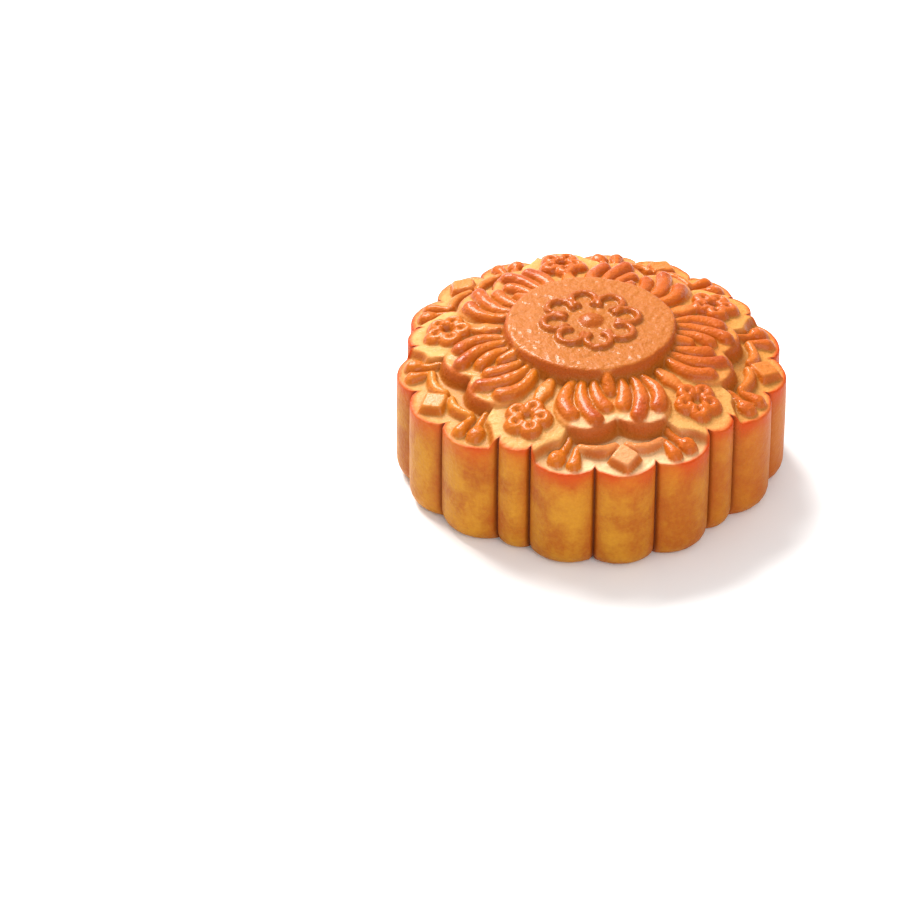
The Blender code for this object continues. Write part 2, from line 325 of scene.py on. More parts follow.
@dataclass(frozen=True)
class Raster:
    """Values over the top on a square grid of even pitch, centred on the cake's axis."""

    values: Places  # one row for each y
    pitch: float

    @classmethod
    def sampled(
        cls, value_at: Callable[[Places, Places], Places], reach: float, pitch: float
    ) -> "Raster":
        """Samples a function of x and y.

        Args:
            value_at: The function, of x and y in millimetres.
            reach: Half the grid's side in millimetres.
            pitch: Its pitch.

        Returns:
            The raster.
        """
        half = round(reach / pitch)
        ticks = np.arange(-half, half + 1) * pitch
        x, y = np.meshgrid(ticks, ticks)
        return cls(value_at(x.ravel(), y.ravel()).reshape(x.shape), pitch)

    def at(self, x: Places, y: Places) -> Places:
        """Values between the grid's points, weighted by the distances to the four nearest.

        Args:
            x: Places in millimetres.
            y: The same.

        Returns:
            The value at each place.
        """
        last = len(self.values) - 1
        column = np.clip(x / self.pitch + last / 2, 0, last - 1e-6)
        row = np.clip(y / self.pitch + last / 2, 0, last - 1e-6)
        i, j = row.astype(int), column.astype(int)
        down, right = row - i, column - j
        upper = self.values[i, j] * (1 - right) + self.values[i, j + 1] * right
        lower = self.values[i + 1, j] * (1 - right) + self.values[i + 1, j + 1] * right
        return upper * (1 - down) + lower * down

    def blurred(self, spread: float) -> "Raster":
        """The raster after a Gaussian blur.

        Args:
            spread: The blur's standard deviation in millimetres.

        Returns:
            A raster of the same size.
        """
        tick = np.arange(len(self.values)) * self.pitch / spread
        weight = np.exp(-0.5 * (tick[:, None] - tick[None]) ** 2)
        weight /= weight.sum(1, keepdims=True)
        return Raster(weight @ self.values @ weight.T, self.pitch)

    def slope(self) -> "Raster":
        """How steeply the values rise at each place."""
        down, right = np.gradient(self.values, self.pitch)
        return Raster(np.hypot(down, right), self.pitch)


@dataclass(frozen=True)
class Levels:
    """Heights of the plain surfaces of the top: the upper terrace, each lobe's shelf and the disc."""

    terrace_middle: float = 30.1
    terrace_rim: float = 25.5
    terrace_reach: float = 36.3
    shelf_start: tuple[float, float] = (30.5, 24.8)  # distance from the axis, and height there
    shelf_slope: float = 0.2
    scarp_near: float = 25.5  # where the terrace drops to the shelf, under the pads
    scarp_far: float = 30.0  # and beside them
    scarp_turn: tuple[float, float] = (8.0, 12.5)  # distances across the lobe between which it moves out
    scarp_end: float = 1.2  # how much further out it lies at the groove
    scarp_groove: float = 18.4  # the groove's own distance across the lobe
    scarp_corner: float = 0.8
    scarp_width: float = 1.35
    disc_radius: float = 17.3
    disc_top: float = 32.8
    disc_crown: float = 0.4

    def terrace(self, radius: Places) -> Places:
        """Height of the terrace, which falls away with the square of the distance from the axis."""
        fall = (self.terrace_middle - self.terrace_rim) / self.terrace_reach**2
        return self.terrace_middle - fall * radius**2

    def shelf(self, radius: Places) -> Places:
        """Height of a lobe's shelf, which falls evenly outward."""
        return self.shelf_start[1] - self.shelf_slope * (radius - self.shelf_start[0])

    def disc(self, radius: Places) -> Places:
        """Height of the disc, which is highest in its middle."""
        return self.disc_top + self.disc_crown * (1 - (radius / self.disc_radius) ** 2)

    def past_scarp(self, radius: Places, off: Places, outline: Outline) -> Places:
        """How far a place lies inside a lobe's shelf.

        It is the smaller of the distance outward from the scarp's line and the distance from the
        radius through the outer groove, with a rounded corner between the two.

        Args:
            radius: Distances from the axis.
            off: Angles off the lobe's middle line, without sign.
            outline: The cake's outline.

        Returns:
            Millimetres; negative on the terrace.
        """
        u, v = radius * np.cos(off), radius * np.sin(off)
        line = self.scarp_near + (self.scarp_far - self.scarp_near) * smooth_step(*self.scarp_turn, v)
        line += self.scarp_end * smooth_step(self.scarp_turn[1] + 1, self.scarp_groove, v)
        beside = radius * np.sin(outline.outer[1] - off)
        return -smooth_max(line - u, -beside, self.scarp_corner)

    def ground(self, radius: Places, off: Places, outline: Outline) -> tuple[Places, Places]:
        """Height of terrace and shelf together.

        Args:
            radius: Distances from the axis.
            off: Angles off the lobe's middle line, without sign.
            outline: The cake's outline.

        Returns:
            The heights, and the share of the way down from terrace to shelf.
        """
        down = smooth_step(0.0, self.scarp_width, self.past_scarp(radius, off, outline))
        return self.terrace(radius) * (1 - down) + self.shelf(radius) * down, down


@dataclass
class Relief:
    """Heights and finish masks over many places of the top at once.

    Ornaments are laid on one after the other, each as a height over the places near it. Where it
    rises above what is there it takes over the height, with a fillet, and the masks.
    """

    x: Places
    y: Places
    outline: Outline
    levels: Levels
    height: Places = field(init=False)
    glaze: Places = field(init=False)
    bake: Places = field(init=False)
    strength: Places = field(init=False)  # how high ornaments rise there, as a share of their rise
    face_glaze: float = 0.75
    unevenness: tuple[float, float] = (0.16, 5.5)  # how much the strength varies, and over what distance

    def __post_init__(self) -> None:
        """Lays the ground: terrace, shelves and the low, uneven swell of the dough."""
        self.radius = np.hypot(self.x, self.y)
        self.off = self.outline.folded(np.arctan2(self.y, self.x))
        self.height, down = self.levels.ground(self.radius, self.off, self.outline)
        face = 4 * down * (1 - down)
        self.glaze = self.face_glaze * face
        self.bake = np.zeros_like(self.height)
        flat = np.stack([self.x, self.y, np.zeros_like(self.x)], axis=1)
        amount, pitch = self.unevenness
        self.strength = 1 + amount * smooth_noise(flat, pitch, Seed.STRENGTH.value)

    def local(self, sector: float) -> tuple[Places, Places]:
        """All places as (u, v) of a sector.

        Args:
            sector: The sector's number; a half number means the narrow scallop after it.

        Returns:
            The places' u and v.
        """
        turn = -math.pi / 2 + sector * SECTOR_ANGLE
        u = self.x * math.cos(turn) + self.y * math.sin(turn)
        v = self.y * math.cos(turn) - self.x * math.sin(turn)
        return u, v

    def lay(self, near: Places, level: Places, fillet: float, glaze: Places, bake: Places) -> None:
        """Lays one ornament on the places near it.

        Args:
            near: Indices of the places.
            level: The ornament's height over each of them.
            fillet: Width of the fillet at its foot, in millimetres of height.
            glaze: Its glaze mask there.
            bake: Its browning mask there.
        """
        before = self.height[near]
        cover = smooth_step(-0.5 * fillet, 0.9 * fillet, level - before)
        self.height[near] = smooth_max(before, level, fillet)
        self.glaze[near] += cover * (glaze - self.glaze[near])
        self.bake[near] += cover * (bake - self.bake[near])


@dataclass(frozen=True)
class Stroke:
    """A rounded ridge of dough along a curve through three places of a sector.

    Across the curve its height is rise (1 - s^roundness)^fullness, where s is the distance from the
    curve as a share of the half width; past the half width it falls steeply, into what it stands on.
    """

    start: tuple[float, float]
    middle: tuple[float, float]
    end: tuple[float, float]
    half_widths: tuple[float, float, float]  # at the start, the middle and the end
    rise: float
    rises: tuple[float, float, float] = (0.9, 1.0, 1.0)  # shares of the rise at the same places
    bakes: tuple[float, float] = (0.15, 0.45)  # how browned the start and the end are
    roundness: float = 2.3
    fullness: float = 0.6
    fillet: float = 0.42
    steepness: float = 2.8
    glaze: float = 1.0
    spread: float = 1.5  # how far past the ridge it still reaches

    stretches = 16

    def press(self, relief: Relief, sector: float, foot: "Foot", mirror: int = 1) -> None:
        """Lays the ridge on the relief.

        Args:
            relief: The relief.
            sector: The sector it lies in.
            foot: Gives the height that it stands on.
            mirror: -1 lays it on the other side of the sector's middle line.
        """
        places = [np.array([u, mirror * v]) for u, v in (self.start, self.middle, self.end)]
        path = curve_through(*places, self.stretches + 1)
        u, v = relief.local(sector)
        spread = max(self.half_widths) + self.spread
        low, high = path.min(0) - spread, path.max(0) + spread
        near = np.flatnonzero((u > low[0]) & (u < high[0]) & (v > low[1]) & (v < high[1]))
        if not len(near):
            return
        distance, share = nearest_on(path, u[near], v[near])
        half = np.interp(share, (0, 0.5, 1), self.half_widths)
        rise = self.rise * np.interp(share, (0, 0.5, 1), self.rises)
        across = distance / half
        crown = rise * np.maximum(1 - across**self.roundness, 0.0) ** self.fullness
        level = foot.height(relief, near, u[near], v[near]) + crown * relief.strength[near]
        level -= self.steepness * np.maximum(distance - half, 0.0)
        bake = np.interp(share, (0, 1), self.bakes) * (1 - 0.5 * np.minimum(across, 1.0) ** 2)
        relief.lay(near, level, self.fillet, np.full(len(near), self.glaze), bake)


class Foot(Enum):
    """What an ornament stands on."""

    TERRACE = "terrace"
    SHELF = "shelf"
    PAD = "pad"
    DISC = "disc"

    def height(self, relief: Relief, near: Places, u: Places, v: Places) -> Places:
        """Height of this level.

        Args:
            relief: The relief, for its plain levels.
            near: Indices of the places.
            u: Their first coordinate.
            v: Their second coordinate.

        Returns:
            The heights at those places.
        """
        radius = relief.radius[near]
        if self is Foot.TERRACE:
            return relief.levels.terrace(radius)
        if self is Foot.SHELF:
            return relief.levels.shelf(radius)
        if self is Foot.DISC:
            return relief.levels.disc(radius)
        return PadPair.top + PadPair.fall * (math.hypot(*PadPair.centre) - np.hypot(u, v))


@dataclass(frozen=True)
class PadPair:
    """The two round pads between disc and shelf, three fingers on each, and the stem between them."""

    fingers: tuple[Stroke, ...] = (
        Stroke(
            (16.6, 6.8), (21.0, 9.3), (25.3, 8.75), (1.1, 1.6, 1.75), 1.35,
            rises=(0.8, 1.0, 1.1), bakes=(0.1, 0.7),
        ),
        Stroke(
            (16.8, 4.9), (22.2, 5.8), (27.3, 4.3), (1.05, 1.6, 1.75), 1.45,
            rises=(0.8, 1.0, 1.15), bakes=(0.1, 0.8),
        ),
        Stroke(
            (16.8, 2.5), (20.8, 2.75), (24.2, 1.75), (1.05, 1.45, 1.65), 1.4,
            rises=(0.8, 1.0, 1.05), bakes=(0.1, 0.5),
        ),
    )
    stem: Stroke = Stroke(
        (16.4, 0.0), (18.4, 0.0), (20.2, 0.0), (1.6, 1.65, 1.4), 2.1,
        rises=(1.2, 1.0, 0.75), bakes=(0.1, 0.3),
    )
    around: float = 16.0  # how far from the pads' own middle their walls still reach
    inner_end: float = 10.0
    joint: float = 0.12  # fillet where the two pads meet
    fillet: float = 0.5

    centre = (23.4, 5.2)
    radius = 6.55
    top = 28.7  # at the pad's centre
    fall = 0.12  # how much it drops outward, for each millimetre
    edge = 0.9
    steepness = 3.4

    def press(self, relief: Relief, sector: int) -> None:
        """Lays both pads on the relief, then their fingers and the stem.

        A pad's height is its sloping top, less a quarter round over the last edge millimetres, less
        a steep wall beyond them.

        Args:
            relief: The relief.
            sector: The sector it lies in.
        """
        u, v = relief.local(sector)
        near = np.flatnonzero((np.hypot(u - self.centre[0], v) < self.around) & (u > self.inner_end))
        u, v = u[near], v[near]
        tops = []
        for side in (-1, 1):
            beyond = np.hypot(u - self.centre[0], v - side * self.centre[1]) - self.radius
            inside = np.clip(beyond + self.edge, 0.0, self.edge)
            drop = self.edge - np.sqrt(self.edge**2 - inside**2)
            tops.append(-drop - self.steepness * np.maximum(beyond, 0.0))
        shape = smooth_max(tops[0], tops[1], self.joint)
        level = Foot.PAD.height(relief, near, u, v) + shape
        wall = smooth_step(0.05, 1.2, -shape)
        back = 1 - smooth_step(self.centre[0] + 0.5, self.centre[0] + 3.5, u)
        relief.lay(near, level, self.fillet, 0.35 + 0.35 * back + 0.3 * wall, 0.04 + 0.2 * wall)
        for side in (-1, 1):
            for finger in self.fingers:
                finger.press(relief, sector, Foot.PAD, side)
        self.stem.press(relief, sector, Foot.PAD)


@dataclass(frozen=True)
class ShelfScrolls:
    """On a lobe's shelf: pairs of knobs on curved stems, of drops and of crescents, and a diamond."""

    stem: Stroke = Stroke(
        (29.2, 9.8), (31.0, 10.8), (32.6, 12.4), (0.95, 0.95, 1.1), 1.35,
        rises=(1.0, 0.9, 1.0), bakes=(0.2, 0.3),
    )
    knob: Stroke = Stroke(
        (33.0, 13.0), (33.3, 13.2), (33.6, 13.4), (1.9, 2.0, 1.85), 2.0,
        rises=(0.9, 1.0, 0.9), bakes=(0.3, 0.4),
    )
    drop: Stroke = Stroke(
        (31.8, 8.8), (33.8, 9.5), (35.4, 10.2), (0.8, 1.2, 1.65), 1.6,
        rises=(0.7, 0.95, 1.1), bakes=(0.2, 0.35),
    )
    crescent: Stroke = Stroke(
        (31.8, 8.0), (33.2, 4.4), (32.5, 1.3), (1.1, 1.3, 1.1), 1.75,
        rises=(0.9, 1.0, 0.9), bakes=(0.1, 0.05), glaze=0.85,
    )
    diamond: float = 35.8  # distance of the diamond's middle from the axis
    foot_reach: float = 3.9
    top_reach: float = 3.0
    rise: float = 1.8
    corner: float = 0.25  # how far the diamond's corners are rounded
    shoulder: float = 0.5
    fillet: float = 0.25
    spread: float = 1.5

    def press(self, relief: Relief, sector: int) -> None:
        """Lays the strokes on the relief, then the diamond.

        The diamond's height falls evenly with |du| + |dv|, the sum of the distances from its middle
        along and across the lobe, between its top's reach and its foot's.

        Args:
            relief: The relief.
            sector: The sector it lies in.
        """
        for stroke in (self.stem, self.knob, self.drop, self.crescent):
            for side in (-1, 1):
                stroke.press(relief, sector, Foot.SHELF, side)
        u, v = relief.local(sector)
        near = np.flatnonzero(np.hypot(u - self.diamond, v) < self.foot_reach + self.spread)
        u, v = u[near], v[near]
        reach = np.hypot(u - self.diamond, self.corner) + np.hypot(v, self.corner)
        share = (self.foot_reach - reach) / (self.foot_reach - self.top_reach)
        capped = -smooth_max(-share, -np.ones_like(share), self.shoulder)
        level = Foot.SHELF.height(relief, near, u, v) + self.rise * capped
        top = smooth_step(0.5, 1.2, share)
        relief.lay(near, level, self.fillet, 0.95 - 0.3 * top, 0.2 - 0.1 * top)


@dataclass(frozen=True)
class Blossom:
    """A flower of five looped petals on the terrace, over the narrow scallop."""

    distance: float = 29.2
    petals: int = 5
    petal_middle: float = 2.75
    loop: float = 1.2
    opening: float = math.radians(42.0)
    half_width: float = 1.3
    rise: float = 1.55
    roundness: float = 2.0
    fullness: float = 0.7
    steepness: float = 3.2
    fillet: float = 0.25
    around: float = 7.5  # how far from its middle it reaches

    stretches = 18

    def press(self, relief: Relief, sector: int) -> None:
        """Lays the petals on the relief. Each is a ridge round most of a circle, open to the middle.

        Args:
            relief: The relief.
            sector: The sector before the narrow scallop.
        """
        u, v = relief.local(sector + 0.5)
        near = np.flatnonzero(np.hypot(u - self.distance, v) < self.around)
        u, v = u[near], v[near]
        distance = np.full(len(near), np.inf)
        for petal in range(self.petals):
            turn = math.pi + 2 * math.pi * petal / self.petals
            path = petal_loop(self.petal_middle, self.loop, self.opening, turn, self.stretches)
            path[:, 0] += self.distance
            distance = np.minimum(distance, nearest_on(path, u, v)[0])
        across = distance / self.half_width
        crown = self.rise * np.maximum(1 - across**self.roundness, 0.0) ** self.fullness
        level = Foot.TERRACE.height(relief, near, u, v) + crown * relief.strength[near]
        level -= self.steepness * np.maximum(distance - self.half_width, 0.0)
        bake = 0.3 + 0.1 * np.minimum(across, 1.0) ** 2
        relief.lay(near, level, self.fillet, np.ones(len(near)), bake)


@dataclass(frozen=True)
class Leaf:
    """The small leaf between disc and flower."""

    stroke: Stroke = Stroke(
        (18.9, 0.0), (21.4, 0.0), (24.2, 0.0), (1.3, 2.0, 1.2), 1.3,
        rises=(0.85, 1.0, 0.9), bakes=(0.1, 0.2), roundness=4.0,
    )
    wash: float = 0.45  # how much less glaze its flat top carries
    wash_reach: tuple[float, float] = (2.4, 1.0)

    def press(self, relief: Relief, sector: int) -> None:
        """Lays the leaf on the relief, in the middle of a narrow scallop.

        Args:
            relief: The relief.
            sector: The sector before the narrow scallop.
        """
        self.stroke.press(relief, sector + 0.5, Foot.TERRACE)
        u, v = relief.local(sector + 0.5)
        along, across = self.wash_reach
        middle = np.exp(-(((u - self.stroke.middle[0]) / along) ** 2) - (v / across) ** 2)
        relief.glaze -= self.wash * middle


@dataclass(frozen=True)
class CentreDisc:
    """The raised round disc in the middle, with a plain rosette of looped petals round a button."""

    edge: float = 0.8
    steepness: float = 4.0
    petals: int = 8
    petal_middle: float = 7.4
    loop: float = 2.5
    opening: float = math.radians(38.0)
    half_width: float = 0.85
    rise: float = 1.0
    roundness: float = 2.3
    fullness: float = 0.6
    petal_steepness: float = 3.5
    button_radius: float = 2.7
    button_rise: float = 1.1
    button_roundness: float = 2.5
    foot_fillet: float = 0.4
    fillet: float = 0.25
    bake: float = 0.25

    stretches = 24

    def press(self, relief: Relief) -> None:
        """Lays the disc on the relief, then the rosette's petals and its button.

        Args:
            relief: The relief.
        """
        levels = relief.levels
        near = np.flatnonzero(relief.radius < levels.disc_radius + 4)
        radius = relief.radius[near]
        beyond = radius - levels.disc_radius
        inside = np.clip(beyond + self.edge, 0.0, self.edge)
        drop = self.edge - np.sqrt(self.edge**2 - inside**2)
        level = levels.disc(radius) - drop - self.steepness * np.maximum(beyond, 0.0)
        wall = smooth_step(0.1, 1.6, drop + np.maximum(beyond, 0.0) * self.steepness)
        relief.lay(near, level, self.foot_fillet, 0.8 + 0.2 * wall, 0.08 + 0.25 * wall)
        near = np.flatnonzero(relief.radius < self.petal_middle + self.loop + 3)
        x, y = relief.x[near], relief.y[near]
        distance = np.full(len(near), np.inf)
        for petal in range(self.petals):
            turn = 2 * math.pi * petal / self.petals
            path = petal_loop(self.petal_middle, self.loop, self.opening, turn, self.stretches)
            distance = np.minimum(distance, nearest_on(path, x, y)[0])
        across = distance / self.half_width
        crown = self.rise * np.maximum(1 - across**self.roundness, 0.0) ** self.fullness
        disc = levels.disc(relief.radius[near])
        glaze, bake = np.ones(len(near)), np.full(len(near), self.bake)
        level = disc + crown - self.petal_steepness * np.maximum(distance - self.half_width, 0.0)
        relief.lay(near, level, self.fillet, glaze, bake)
        share = np.hypot(x, y) / self.button_radius
        level = disc + self.button_rise * np.maximum(1 - share**self.button_roundness, -2.0)
        relief.lay(near, level, self.fillet, glaze, bake)


@dataclass(frozen=True)
class Grid:
    """The flat grid under the top: a middle point, and rings about it that take on the outline outward.

    Ring k has 8 k points. The rings are then gathered: points draw together where the relief is
    steep, so that steep faces are as finely divided as level ones.
    """

    rings: int = 130
    inset: float = 0.6  # how far the grid ends inside the outline
    even_reach: float = 40.0  # radius of the outermost ring before it takes on the outline
    follow: tuple[float, float] = (0.55, 1.0)  # shares of the rings between which they do
    pull: float = 1.1  # how strongly a slope of one draws points together
    rounds: int = 60
    ease: float = 0.8

    def flat(self, outline: Outline) -> tuple[Places, Places, Places]:
        """The grid before gathering.

        Args:
            outline: The cake's outline.

        Returns:
            The points' x and y in millimetres, and the triangles between them.
        """
        angles = outline.columns(8 * self.rings)
        x, y, faces = [np.zeros(1)], [np.zeros(1)], []
        start = [0]
        for ring in range(1, self.rings + 1):
            column = np.arange(8 * ring) * self.rings / ring
            angle = np.interp(column, np.arange(8 * self.rings + 1), angles)
            share = ring / self.rings
            taken = smooth_step(*self.follow, np.full_like(angle, share))
            scalloped = (outline.reach(angle) - self.inset) * share
            radius = self.even_reach * share * (1 - taken) + scalloped * taken
            x.append(radius * np.cos(angle))
            y.append(radius * np.sin(angle))
            start.append(start[-1] + max(8 * (ring - 1), 1))
            faces.extend(self.between(ring, start[-2], start[-1]))
        return np.concatenate(x), np.concatenate(y), np.concatenate(faces)

    @staticmethod
    def between(ring: int, inner: int, outer: int) -> list[Places]:
        """Triangles between a ring and the one inside it, an eighth of a turn at a time.

        Args:
            ring: The ring's number.
            inner: Index of the first point of the ring inside it.
            outer: Index of its own first point.

        Returns:
            The triangles that have an edge on the ring, then those that have one on the inner ring.
        """
        octant, step = np.arange(8)[:, None], np.arange(ring)[None]
        inside, around = max(8 * (ring - 1), 1), 8 * ring
        near = inner + (octant * (ring - 1) + step) % inside
        here = outer + (octant * ring + step) % around
        after = outer + (octant * ring + step + 1) % around
        found = [np.stack([near, here, after], axis=2).reshape(-1, 3)]
        if ring > 1:
            near, after = near[:, :-1], after[:, :-1]
            beyond = inner + (octant * (ring - 1) + step[:, :-1] + 1) % inside
            found.append(np.stack([near, after, beyond], axis=2).reshape(-1, 3))
        return found

    def gathered(self, x: Places, y: Places, faces: Places, heights: Raster) -> tuple[Places, Places]:
        """Draws the grid's points together on steep places.

        In each round every point moves to the mean of its neighbours, weighted by 1 plus pull times
        the slope towards each. The middle point and the outermost ring stay.

        Args:
            x: The points' x in millimetres.
            y: Their y.
            faces: The triangles.
            heights: The relief's height.

        Returns:
            The new x and y.
        """
        ends = np.sort(np.concatenate([faces[:, [0, 1]], faces[:, [1, 2]], faces[:, [2, 0]]]), axis=1)
        first, last = np.unique(ends, axis=0).T
        count, x, y = len(x), x.copy(), y.copy()
        free = np.ones(count, bool)
        free[0] = False
        free[-8 * self.rings:] = False
        for _ in range(self.rounds):
            height = heights.at(x, y)
            length = np.hypot(x[first] - x[last], y[first] - y[last])
            weight = 1 + self.pull * np.abs(height[first] - height[last]) / length
            total = np.bincount(first, weight, count) + np.bincount(last, weight, count)
            for place in (x, y):
                drawn = np.bincount(first, weight * place[last], count)
                drawn += np.bincount(last, weight * place[first], count)
                place += self.ease * free * (drawn / total - place)
        return x, y


@dataclass(frozen=True)
class Wall:
    """The cake's side: rows of points from the top's edge round its rounded rim and down to the base.

    Its foot draws in on a quarter of an ellipse, and it leans in a little towards the rim.
    """

    rim_radius: float = 0.45
    rim_rows: int = 4
    rows: int = 20
    foot_inset: float = 2.8
    foot_share: float = 0.17  # share of the wall's height that its foot takes
    top_inset: float = 0.15  # how much further in the rim lies than the middle
    swell: float = 0.07  # how uneven its skin is
    swell_pitches: tuple[float, float] = (7.0, 1.8)
    rim_fade: tuple[float, float] = (3.4, 1.1)  # how far the browned rim's colour runs down, and in

    def laid(self, angle: Places, reach: Places, rim: Places) -> Places:
        """Points of all rows.

        Args:
            angle: Angle of each column about the axis.
            reach: Distance of the grid's edge from the axis there.
            rim: Its height there.

        Returns:
            Points in millimetres, by row, column and axis.
        """
        turn = np.linspace(0, math.pi / 2, self.rim_rows + 1)[1:, None]
        edge_height = rim - self.rim_radius * (1 - np.cos(turn))
        edge_inset = self.rim_radius * (1 - np.sin(turn))
        share = (1 + np.cos(np.linspace(0, math.pi, self.rows + 1)[1:, None])) / 2
        lean = self.top_inset * (np.maximum(share - 0.5, 0.0) / 0.5) ** 2
        low = np.clip(1 - share / self.foot_share, 0.0, 1.0)
        foot = self.foot_inset * (1 - np.sqrt(1 - low**2))
        height = np.concatenate([edge_height, share * edge_height[-1]])
        inset = np.concatenate([edge_inset + self.top_inset, lean + foot]) + 0 * height
        radius = reach + self.rim_radius + self.top_inset - inset
        points = np.stack([radius * np.cos(angle), radius * np.sin(angle), height], axis=2)
        flat = points.reshape(-1, 3)
        wide = smooth_noise(flat, self.swell_pitches[0], Seed.WALL_WIDE.value)
        swell = 0.7 * wide + 0.3 * smooth_noise(flat, self.swell_pitches[1], Seed.WALL_FINE.value)
        grow = 1 + self.swell * swell.reshape(height.shape) * np.sin(np.pi * height / rim) / radius
        return points * np.stack([grow, grow, np.ones_like(grow)], axis=2)


@dataclass
class Mooncake:
    """The whole cake: the relief of its top, its wall and its base as one closed mesh."""

    outline: Outline = field(default_factory=Outline)
    levels: Levels = field(default_factory=Levels)
    pads: PadPair = field(default_factory=PadPair)
    scrolls: ShelfScrolls = field(default_factory=ShelfScrolls)
    blossom: Blossom = field(default_factory=Blossom)
    leaf: Leaf = field(default_factory=Leaf)
    disc: CentreDisc = field(default_factory=CentreDisc)
    grid: Grid = field(default_factory=Grid)
    wall: Wall = field(default_factory=Wall)
    wobble: float = 0.22  # how unevenly the mould's lines run
    wobble_pitch: float = 6.5
    calm_from: tuple[float, float] = (33.0, 36.0)  # distances between which they turn even
    lip: tuple[float, float] = (0.28, 0.55)  # height and reach of the raised lip along the lobes' rims
    lip_inset: float = 0.7
    sag: float = 0.8  # how much lower than its middle the rim of the first lobe has baked
    sag_from: tuple[float, float] = (16.0, 38.0)  # distances between which the sag sets in
    nominal_radius: float = 40.0
    swell: tuple[float, float] = (0.12, 9.0)  # height and pitch of the dough's wide unevenness
    dimple: tuple[float, float] = (0.06, 1.7)  # of its fine unevenness
    wrinkle: tuple[float, float] = (0.06, 0.95)  # and of its wrinkles
    disc_wrinkle: float = 0.05  # how much higher they are on the disc
    face_shade_slopes: tuple[float, float] = (0.8, 1.5)  # slopes between which a face takes on its deeper colour: partly browned crust, partly painted shade
    bake_and_shade_turn: float = math.radians(20.0)  # direction in which the crust is coloured darkest: partly uneven baking, partly painted shade on the side away from the key light
    groove_shade_fade: float = 1.2  # how far the painted shade beside the grooves spreads
    sheen_shelf_angles: tuple[float, float] = (0.8, 0.2)  # angles off the first lobe between which its shelf turns pale: a painted sheen of the light behind
    raster_reach: float = 42.0
    raster_pitch: float = 0.2
    gathering_blur: float = 0.22

    def relief_at(self, x: Places, y: Places) -> Relief:
        """The relief over the given places, with the mould's lines made a little uneven.

        Args:
            x: The places' first coordinate in millimetres.
            y: Their second coordinate.

        Returns:
            The relief with all its ornaments.
        """
        flat = np.stack([x, y, np.zeros_like(x)], axis=1)
        calm = 1 - smooth_step(*self.calm_from, np.hypot(x, y))
        shift = [
            self.wobble * calm * smooth_noise(flat, self.wobble_pitch, seed.value)
            for seed in (Seed.ACROSS, Seed.ALONG)
        ]
        relief = Relief(x + shift[0], y + shift[1], self.outline, self.levels)
        for sector in range(SECTORS):
            self.scrolls.press(relief, sector)
            self.blossom.press(relief, sector)
            self.leaf.press(relief, sector)
            self.pads.press(relief, sector)
        self.disc.press(relief)
        angle = np.arctan2(y, x)
        inward = self.outline.reach(angle) - np.hypot(x, y)
        end = self.outline.outer[1]
        on_lobe = 1 - smooth_step(end - 0.1, end - 0.03, self.outline.folded(angle))
        relief.height += self.sag * y / self.nominal_radius * smooth_step(*self.sag_from, relief.radius)
        rise, reach = self.lip
        relief.height += rise * on_lobe * np.exp(-((inward - self.lip_inset) / reach) ** 2)
        swell = self.swell[0] * smooth_noise(flat, self.swell[1], Seed.SWELL.value)
        relief.height += swell + self.dimple[0] * smooth_noise(flat, self.dimple[1], Seed.DIMPLE.value)
        on_disc = 1 - smooth_step(-1.0, 0.0, relief.radius - self.levels.disc_radius)
        height, pitch = self.wrinkle
        wrinkles = smooth_noise(flat, pitch, Seed.WRINKLE.value)
        relief.height += (height + self.disc_wrinkle * on_disc) * wrinkles
        return relief

    def crevices(self, heights: Raster) -> Raster:
        """How deep each place of the top lies below its surroundings, which sets the painted shade in its
        crevices.

        It is 1 - (1 - 0.8 near)(1 - 0.7 wide), each the drop below a blurred height as a share.

        Args:
            heights: The top's height.

        Returns:
            Values from 0 to 1.
        """
        near = np.clip((heights.blurred(0.9).values - heights.values) / 0.7, 0.0, 1.0)
        wide = np.clip((heights.blurred(2.6).values - heights.values) / 1.3, 0.0, 1.0)
        return Raster(1 - (1 - 0.8 * near) * (1 - 0.7 * wide), heights.pitch)

    def build(self) -> bpy.types.Object:
        """Makes the cake's mesh and keeps the masks on its points.

        Returns:
            The cake.
        """
        heights = Raster.sampled(
            lambda x, y: self.relief_at(x, y).height, self.raster_reach, self.raster_pitch
        )
        x, y, faces = self.grid.flat(self.outline)
        x, y = self.grid.gathered(x, y, faces, heights.blurred(self.gathering_blur))
        relief = self.relief_at(x, y)
        count, edge = len(x), 8 * self.grid.rings
        rim = np.arange(count - edge, count)
        angle, reach = np.arctan2(y[rim], x[rim]), np.hypot(x[rim], y[rim])
        side = self.wall.laid(angle, reach, relief.height[rim])
        top, base_middle = np.stack([x, y, relief.height], axis=1), [[0.0, 0.0, 0.0]]
        points = np.concatenate([top, side.reshape(-1, 3), base_middle])
        above = np.concatenate([rim, np.arange(count, len(points) - 1)]).reshape(-1, edge)
        after = np.roll(above, -1, axis=1)
        quads = np.stack([above[:-1], above[1:], after[1:], after[:-1]], axis=2).reshape(-1, 4)
        fan = np.stack([above[-1], np.full(edge, len(points) - 1), after[-1]], axis=1)
        mesh = bpy.data.meshes.new("mooncake_crust")
        mesh.from_pydata((points * MM).tolist(), [], faces.tolist() + quads.tolist() + fan.tolist())
        mesh.polygons.foreach_set("use_smooth", np.ones(len(mesh.polygons), bool))
        for name, values in self.masks(points, relief, heights, side).items():
            kept = mesh.attributes.new(name, "FLOAT", "POINT")
            kept.data.foreach_set("value", values.astype(np.float32))
        cake = bpy.data.objects.new("mooncake_crust", mesh)
        bpy.context.scene.collection.objects.link(cake)
        return cake

